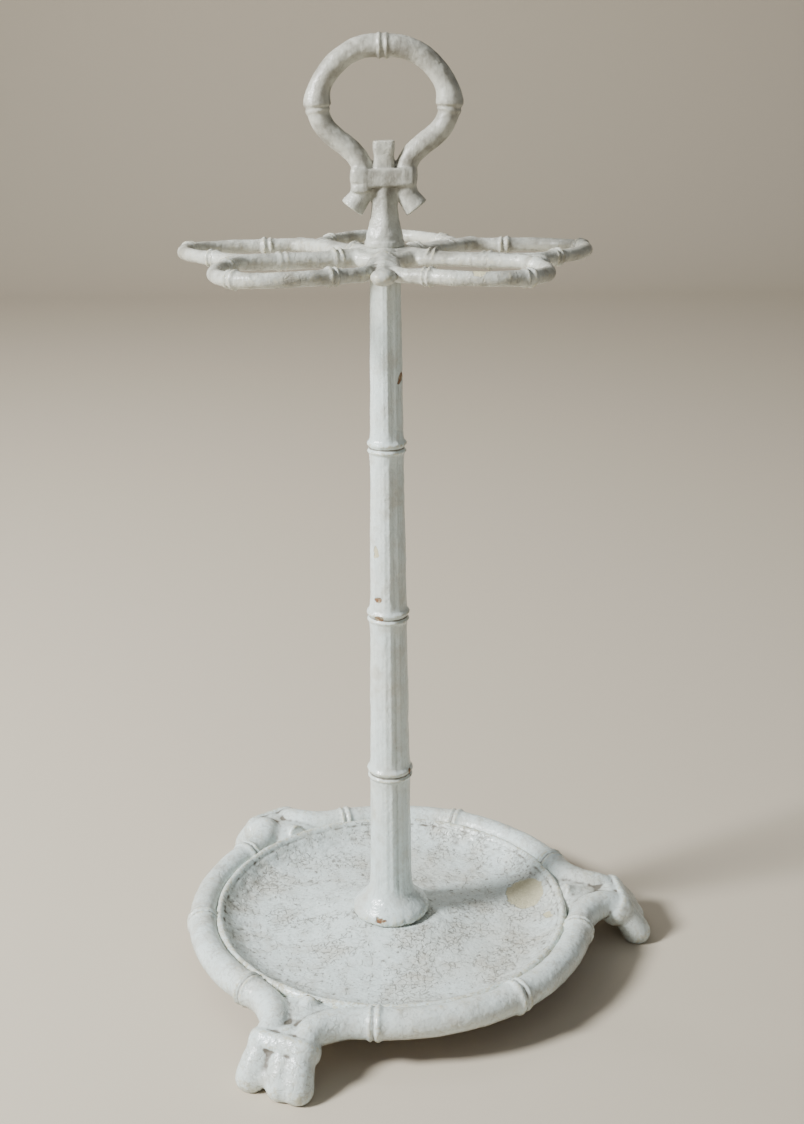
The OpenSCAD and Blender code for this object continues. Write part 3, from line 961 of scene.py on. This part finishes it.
# Furrows that run between the joints: azimuth, depth and half width, in degrees and millimetres.
FURROWS = (
    (293, 1.0, 1.8), (313, 0.55, 1.9), (268, 0.3, 1.6), (240, 0.35, 2.6), (338, 0.4, 2.4),
    (105, 0.9, 1.7), (60, 0.35, 2.4), (180, 0.3, 2.2), (15, 0.4, 2.0), (302, 0.35, 0.9),
    (282, 0.3, 0.9), (324, 0.35, 1.0), (253, 0.2, 0.9), (350, 0.3, 1.0), (75, 0.3, 1.0), (130, 0.3, 1.0),
)


class STAND_OT_column(bpy.types.Operator):
    """Shape the hollow column: a tapering cane with joints, furrows and a bead at its foot"""

    bl_idname = "stand.column"
    bl_label = "Column"

    def execute(self, context):
        size = sizes()
        top, foot = size.column_top / MM, size.column_foot / MM
        z = np.arange(SEAT_Z, COLUMN_TOP, 0.62)
        z = np.append(z, COLUMN_TOP)
        shaft = COLUMN_TOP - SEAT_Z - BEAD_H
        taper = foot + (top - foot) * np.clip((z - SEAT_Z - BEAD_H) / shaft, 0, 1)
        bead_z, bead_r = np.array(BEAD).T
        bead = outline(np.stack([bead_r, bead_z], axis=1), 0.5)
        plain = np.maximum(taper, np.interp(z - SEAT_Z, bead[:, 1], bead[:, 0], right=0))
        swell = sum(joint(z - level, size.joint_rise / MM, 1.25) for level in COLUMN_JOINTS)
        radii = np.repeat((plain + swell)[:, None], COLUMN_AROUND, axis=1)
        radii = radii - self.furrows(z, plain)
        bore = np.full((1, COLUMN_AROUND), COLUMN_BORE)
        radii = np.vstack([bore, radii, bore])
        levels = np.concatenate([[z[0]], z, [z[-1]]])
        verts, faces = revolved(radii, levels, COLUMN_AROUND)
        paint = casting_paint("column", 0.12, 0.15)
        make_casting("column_casting", verts, faces, 37, ["column"], paint, 0.8)
        return {"FINISHED"}

    @staticmethod
    def furrows(z, plain):
        """How deep the furrows are at each height and angle. They run out before the joints."""
        angle = np.degrees(np.linspace(0, 2 * math.pi, COLUMN_AROUND, endpoint=False))
        ends = np.array([SEAT_Z + 14, *COLUMN_JOINTS, COLUMN_TOP])
        gaps = np.abs(z[:, None] - ends).min(1)
        depth = np.clip((gaps - 3) / 10, 0, 1) ** 0.7
        total = 0
        for azimuth, deep, wide in FURROWS:
            off = (angle - azimuth + 180) % 360 - 180
            across = np.radians(off)[None, :] * plain[:, None] / wide
            total = total + deep * depth[:, None] * np.exp(-(across**2))
        return total


# Divider: a leg of a loop from its spoke to the tip, as distance along the loop's axis and aside.

LOOP_KEYS = (
    (24.0, 10.6), (38.0, 21.0), (50.0, 29.4), (62.0, 38.0), (72.0, 44.4), (78.5, 46.8),
    (85.0, 45.6), (96.5, 40.4), (107.5, 36.2), (117.5, 29.8), (125.5, 21.8), (131.2, 11.4),
    (133.3, 0.0),
)
# Where a loop has its joints: on both flanks and at the tip.
LOOP_JOINTS = ((96.5, 40.4), (133.3, 0.0), (96.5, -40.4))
# Hand work: how far each loop leans off its place, in degrees, and how much longer it is.
LOOP_LEAN = ((0.5, 1.036), (1.0, 1.045), (0.0, 0.99), (-1.0, 1.045), (-2.4, 1.042))
# A spoke's way out from the hub, and its joints: distance out, and how strong.
SPOKE_KEYS = ((8, 0, 2.4), (20, 0, 2.0), (34, 0, 1.0), (50, 0, 0.7), (70, 0, 0.7), (98, 0, 0.6))
SPOKE_JOINTS = ((32, 1.5), (68, 1.0))
SPOKE_END = 107
DIVIDER_REACH = 150
DIVIDER_CELL = 0.85


class STAND_OT_divider(bpy.types.Operator):
    """Shape the divider: a hub with five spokes and five loops of cane"""

    bl_idname = "stand.divider"
    bl_label = "Divider"

    def execute(self, context):
        size = sizes()
        cane, rise = size.divider_cane / MM, size.joint_rise / MM * 0.85
        low = (-DIVIDER_REACH, -DIVIDER_REACH, HUB_LOW[2] - 1)
        high = (DIVIDER_REACH, DIVIDER_REACH, HUB_TOP + 4)
        pattern = Pattern(low, high, DIVIDER_CELL)
        for n, (lean, stretch) in enumerate(LOOP_LEAN):
            spoke = FIRST_SPOKE + n * LOOP_STEP
            points, radii = self.loop(spoke + LOOP_STEP / 2 + lean, stretch, n, cane, rise)
            pattern.cane(points, radii, soft=3.4)
            points, run = smooth_path(turned(SPOKE_KEYS, spoke) + [0, 0, DIVIDER_Z])
            start = SPOKE_KEYS[0][0]
            radii = cane + sum(joint(run - (at - start), rise * swell) for at, swell in SPOKE_JOINTS)
            pattern.cane(points, radii, soft=3.4)
            knob = turned([SPOKE_END - 6, 0, 0], spoke) + [0, 0, DIVIDER_Z + 0.3]
            pattern.add(knob - 16, knob + 16, self.knob(knob), 1.2)
        pattern.add((-32, -32, HUB_LOW[2] - 2), (32, 32, HUB_TOP + 3), self.hub, 4.0)
        verts, faces = pattern.net()
        nodes = ["divider_hub"]
        nodes += [f"divider_{part}_{n + 1}" for part in ("spoke", "loop") for n in range(LOOPS)]
        paint = casting_paint("divider", 0.3, 0.2)
        make_casting("divider_casting", verts, faces, 51, nodes, paint)
        return {"FINISHED"}

    @staticmethod
    def loop(middle, stretch, n, cane, rise):
        """Points and radii of one loop, about its own middle line."""
        half = [(u * stretch, v * stretch, 0.0) for u, v in LOOP_KEYS]
        keys = half + [(u, -v, z) for u, v, z in half[-2::-1]]
        points, run = smooth_path(turned(keys, middle) + [0, 0, DIVIDER_Z])
        inner = np.clip(np.minimum(run, run[-1] - run) / 60, 0, 1)
        radii = cane - 0.2 - 0.7 * (1 - inner)
        for u, v in LOOP_JOINTS:
            at = run[nearest(points, turned([u * stretch, v * stretch, DIVIDER_Z], middle))]
            radii = radii + joint((1 if v > 0 else -1) * (run - at), rise)
        points[:, 2] += 0.9 * inner + 0.45 * np.sin(run / run[-1] * 4 * math.pi + n)
        return points, radii

    @staticmethod
    def knob(spot):
        """The rounded end of a spoke, broader than it is high."""
        broad, high = 7.6, 4.9

        def distance(x, y, z):
            flat = np.sqrt((x - spot[0]) ** 2 + (y - spot[1]) ** 2) / broad
            return (np.sqrt(flat**2 + ((z - spot[2]) / high) ** 2) - 1) * high

        return distance

    @staticmethod
    def hub(x, y, z):
        """A rounded disc with a low seat for the handle's stem."""
        r = np.sqrt(x**2 + y**2)
        middle, half, edge = DIVIDER_Z + 0.2, 5.2, 4.5
        beyond, above = np.maximum(r - 19, 0), np.maximum(np.abs(z - middle) - half + edge, 0)
        flat = np.sqrt(beyond**2 + above**2) - edge
        beyond, above = np.maximum(r - 13, 0), np.maximum(np.abs(z - HUB_TOP + 4) - 2, 0)
        seat = np.sqrt(beyond**2 + above**2) - 2
        return soft_min(flat, seat, 2.5)


# Ring handle: half of its cane, from the crown to the cut end, as distance aside and height.

RING_KEYS = (
    (0.0, 638.9), (11.5, 638.2), (21.8, 634.4), (30.3, 628.0), (36.6, 620.2), (40.2, 612.4),
    (41.3, 605.0), (40.2, 597.6), (36.8, 591.0), (31.0, 585.2), (24.2, 580.0), (17.8, 574.2),
    (14.2, 567.4), (13.2, 560.0), (13.8, 553.8), (16.2, 547.6), (20.8, 541.2),
)
# Stem: heights above the hub, and its radii there.
STEM = (
    (0, 12.0), (1.0, 12.8), (3.4, 12.7), (4.6, 12.0), (8, 11.6), (13, 10.0), (19, 8.8), (26, 7.9),
    (36, 7.2), (44, 6.5), (52, 6.3), (57, 6.5), (61, 7.1), (65.8, 7.0),
)

# Rolls of the binding where it goes round a cane: place, half width, half height, half depth.
WRAPS = (
    ((-15.4, 561.6), 5.9, 5.6, 9.6),
    ((-14.6, 553.8), 6.2, 3.0, 8.9),
    ((14.9, 560.6), 4.9, 6.4, 8.6),
)
# Height of the ring's top that the keys and the wraps are given for.
RING_KEYS_TOP = 646
# The elbow on each side of the ring: distance aside and height.
ELBOW = (41.3, 604.5)
# Places of the crown's two thin rings along the cane, from its middle.
CROWN_RINGS = (-2.3, 2.1)
HANDLE_CELL = 0.5


def tie_distance(x, y, z):
    """The binding: a flat wrap round the stem and both canes."""
    middle, half_h, half_w, half_d = 560.3, 5.6, 20.6, 8.3
    beyond = np.maximum(np.abs(x) - (half_w - half_d), 0)
    pill = np.sqrt(beyond**2 + y**2) - half_d
    slope = z - middle - 0.03 * x
    bulge = 0.7 * (1 - np.clip(slope / half_h, -1, 1) ** 2)
    return soft_max(pill - bulge, np.abs(slope) - half_h, 1.4)


def stem_distance(x, y, z):
    """The handle's stem: round and fluted below its binding, square above it."""
    level, radius = np.array(STEM).T
    want = np.interp(z - HUB_TOP, level, radius)
    above = np.clip((z - HUB_TOP - 42) / 8, 0, 1)
    power = 2 + 3.0 * above
    across = (np.abs(x) ** power + np.abs(y) ** power) ** (1 / power)
    angle = np.arctan2(y, x)
    flutes = 0.38 * np.cos(5 * angle + 1.4) * np.clip((z - HUB_TOP - 5) / 8, 0, 1) * (1 - above)
    d = across - want - flutes
    d = soft_max(d, z - HUB_TOP - level[-1], 1.2)
    return soft_max(d, HUB_TOP - z, 0.6)


class STAND_OT_handle(bpy.types.Operator):
    """Shape the handle casting: stem, ring of cane with cut ends, and the binding"""

    bl_idname = "stand.handle"
    bl_label = "Ring Handle"

    def execute(self, context):
        size = sizes()
        cane, rise = size.handle_cane / MM, size.joint_rise / MM
        lift = RING_TOP - RING_KEYS_TOP
        pattern = Pattern((-56, -13, HUB_TOP - 2), (56, 13, RING_TOP + 4), HANDLE_CELL)
        half = [(x, 0.0, z + lift) for x, z in RING_KEYS]
        keys = [(-x, y, z) for x, y, z in half[:0:-1]] + half
        points, run = smooth_path(keys, 0.4)
        crown = run[-1] / 2
        radii = np.full(len(run), cane)
        for gap in CROWN_RINGS:
            radii = radii + rise * 0.5 * np.exp(-(((run - crown - gap) / 1.15) ** 2))
        for side in (-1, 1):
            at = run[nearest(points, (side * ELBOW[0], 0, ELBOW[1] + lift))]
            radii = radii + self.elbow(side * (run - at), rise)
            flared = np.clip((side * (run - crown) - run[-1] / 2 + 9) / 9, 0, 1)
            radii = radii + 1.3 * flared
        cuts = []
        for first, second in ((0, 6), (-1, -7)):
            out = points[first] - points[second]
            cuts.append((points[first], out / np.linalg.norm(out), 16))
        pattern.cane(points, radii, soft=1.6, cuts=cuts, edge=1.6)
        pattern.add((-22, -13, HUB_TOP - 2), (22, 13, HUB_TOP + 70), stem_distance, 3.4)
        pattern.add((-30, -13, 548 + lift), (30, 13, 574 + lift), tie_distance, 0.9)
        for lump in WRAPS:
            pattern.add((-32, -13, 544 + lift), (32, 13, 576 + lift), self.wrap(lump, lift), 0.8)
        verts, faces = pattern.net()
        nodes = ["handle_stem", "handle_ring", "handle_binding"]
        paint = casting_paint("handle", 0.2, 0.15)
        make_casting("handle_casting", verts, faces, 67, nodes, paint, 0.9)
        return {"FINISHED"}

    @staticmethod
    def elbow(along, rise):
        """The sharp joint at the ring's side: a long swelling, a ridge, a groove and a thin ring."""
        above = np.exp(-((np.minimum(along, 0) / 8.0) ** 2)) * (along <= 0)
        below = np.exp(-((along / 1.7) ** 2)) * (along > 0)
        thin = 0.5 * np.exp(-(((along - 3.7) / 1.3) ** 2))
        return rise * (1.0 * (above + below) + thin)

    @staticmethod
    def wrap(lump, lift):
        """A rounded block, where the binding bulges round a cane."""
        (x0, z0), half_w, half_h, half_d = lump

        def distance(x, y, z):
            part = ((x - x0) / half_w) ** 4 + ((z - z0 - lift) / half_h) ** 4 + (y / half_d) ** 4
            return (part**0.25 - 1) * min(half_w, half_h)

        return distance


class STAND_OT_tie(bpy.types.Operator):
    """Give the tie rod, its nut and its washer their bare iron"""

    bl_idname = "stand.tie"
    bl_label = "Tie Rod"

    def execute(self, context):
        iron = iron_material()
        for name in ("tie_rod", "tie_nut", "tie_washer"):
            node = frame["nodes"][name]
            for slot in node.material_slots:
                slot.material = iron
        return {"FINISHED"}


# Stage: floor, soft light and the camera.

# Camera: place in millimetres from the column's foot, dip and roll in degrees, focal length.
CAMERA_SPOT = (9.7, -938.6, 616.2)
CAMERA_DIP = 18.43
CAMERA_ROLL = -0.37
CAMERA_LENS = 45.93
FLOOR_COLOUR = (0.60, 0.53, 0.42)


def paper_material(colour, rough):
    """Plain pale paper, very slightly clouded."""
    pot = Pot("floor_paper")
    at = pot.place()
    grain = pot.noise(at, 30, 3)
    tone = pot.mix(grain * 0.25, rgba(colour), rgba([0.94 * c for c in colour]))
    shader = pot.wire("ShaderNodeBsdfPrincipled", {}, {"Base Color": tone, "Roughness": rough})
    pot.node("ShaderNodeOutputMaterial", {}, {"Surface": shader})
    return pot.material


def add_light(name, spot, target, size, power, colour):
    """A round soft light that faces its target."""
    data = bpy.data.lights.new(name, "AREA")
    data.shape = "DISK"
    data.size = size
    data.energy = power
    data.color = colour
    lamp = bpy.data.objects.new(name, data)
    bpy.context.collection.objects.link(lamp)
    lamp.location = spot
    aim = Vector(target) - Vector(spot)
    lamp.rotation_euler = aim.to_track_quat("-Z", "Y").to_euler()
    return lamp


class STAND_OT_stage(bpy.types.Operator):
    """Make the floor, the soft studio light and the camera"""

    bl_idname = "stand.stage"
    bl_label = "Stage"

    def execute(self, context):
        self.floor()
        self.lights()
        self.camera()
        return {"FINISHED"}

    def floor(self):
        """A floor that sweeps up into a backdrop."""
        mesh = bpy.data.meshes.new("floor")
        half, back, bend, top = 6.0, 3.5, 1.0, 6.0
        rows = [(-half, 0.0)]
        steps = 24
        for i in range(steps + 1):
            a = math.pi / 2 * i / steps
            rows.append((back + bend * math.sin(a), bend * (1 - math.cos(a))))
        rows.append((back + bend, top))
        verts = [(x, y, z) for y, z in rows for x in (-half, half)]
        faces = [(2 * i, 2 * i + 1, 2 * i + 3, 2 * i + 2) for i in range(len(rows) - 1)]
        mesh.from_pydata(verts, [], faces)
        mesh.polygons.foreach_set("use_smooth", [True] * len(faces))
        mesh.materials.append(paper_material(FLOOR_COLOUR, 0.8))
        floor = bpy.data.objects.new("floor", mesh)
        bpy.context.collection.objects.link(floor)

    def lights(self):
        world = bpy.data.worlds.new("studio")
        world.use_nodes = True
        glow = world.node_tree.nodes["Background"]
        glow.inputs["Color"].default_value = (0.93, 0.97, 1.0, 1.0)
        glow.inputs["Strength"].default_value = 0.23
        bpy.context.scene.world = world
        middle = (0.0, 0.0, 0.3)
        add_light("window", (-1.7, -0.7, 1.5), middle, 0.5, 116, (0.97, 0.99, 1.0))
        add_light("front_fill", (1.0, -2.4, 1.3), middle, 1.8, 3, (1.0, 0.97, 0.93))
        add_light("wall_glow", (-1.2, 0.9, 2.4), (0.6, 4.4, 1.2), 1.6, 60, (1.0, 0.98, 0.95))

    def camera(self):
        data = bpy.data.cameras.new("camera")
        data.sensor_fit = "AUTO"
        data.sensor_width = 36
        data.lens = CAMERA_LENS
        data.clip_start = 0.01
        eye = bpy.data.objects.new("camera", data)
        bpy.context.collection.objects.link(eye)
        tip = Matrix.Rotation(math.radians(90 - CAMERA_DIP), 4, "X")
        roll = Matrix.Rotation(math.radians(CAMERA_ROLL), 4, "Z")
        place = Vector((AXIS + np.array(CAMERA_SPOT)) * MM)
        eye.matrix_world = Matrix.Translation(place) @ tip @ roll
        bpy.context.scene.camera = eye


OPERATORS = (
    STAND_OT_stage,
    STAND_OT_base,
    STAND_OT_pan,
    STAND_OT_column,
    STAND_OT_divider,
    STAND_OT_handle,
    STAND_OT_tie,
)


class STAND_PT_panel(bpy.types.Panel):
    """Steps that build the stand, with its sizes and colours"""

    bl_idname = "STAND_PT_panel"
    bl_label = "Cane Stand"
    bl_space_type = "VIEW_3D"
    bl_region_type = "UI"
    bl_category = "Cane Stand"

    def draw(self, context):
        layout = self.layout
        for group in (context.scene.stand_sizes, context.scene.stand_colours):
            for name in group.__annotations__:
                layout.prop(group, name)
        for step in OPERATORS:
            layout.operator(step.bl_idname)


CLASSES = (StandSizes, StandColours, *OPERATORS, STAND_PT_panel)


def register():
    for cls in CLASSES:
        bpy.utils.register_class(cls)
    bpy.types.Scene.stand_sizes = PointerProperty(type=StandSizes)
    bpy.types.Scene.stand_colours = PointerProperty(type=StandColours)


def unregister():
    del bpy.types.Scene.stand_colours
    del bpy.types.Scene.stand_sizes
    for cls in reversed(CLASSES):
        bpy.utils.unregister_class(cls)


def main():
    register()
    for step in OPERATORS:
        group, name = step.bl_idname.split(".")
        getattr(getattr(bpy.ops, group), name)()


if __name__ == "__main__":
    main()
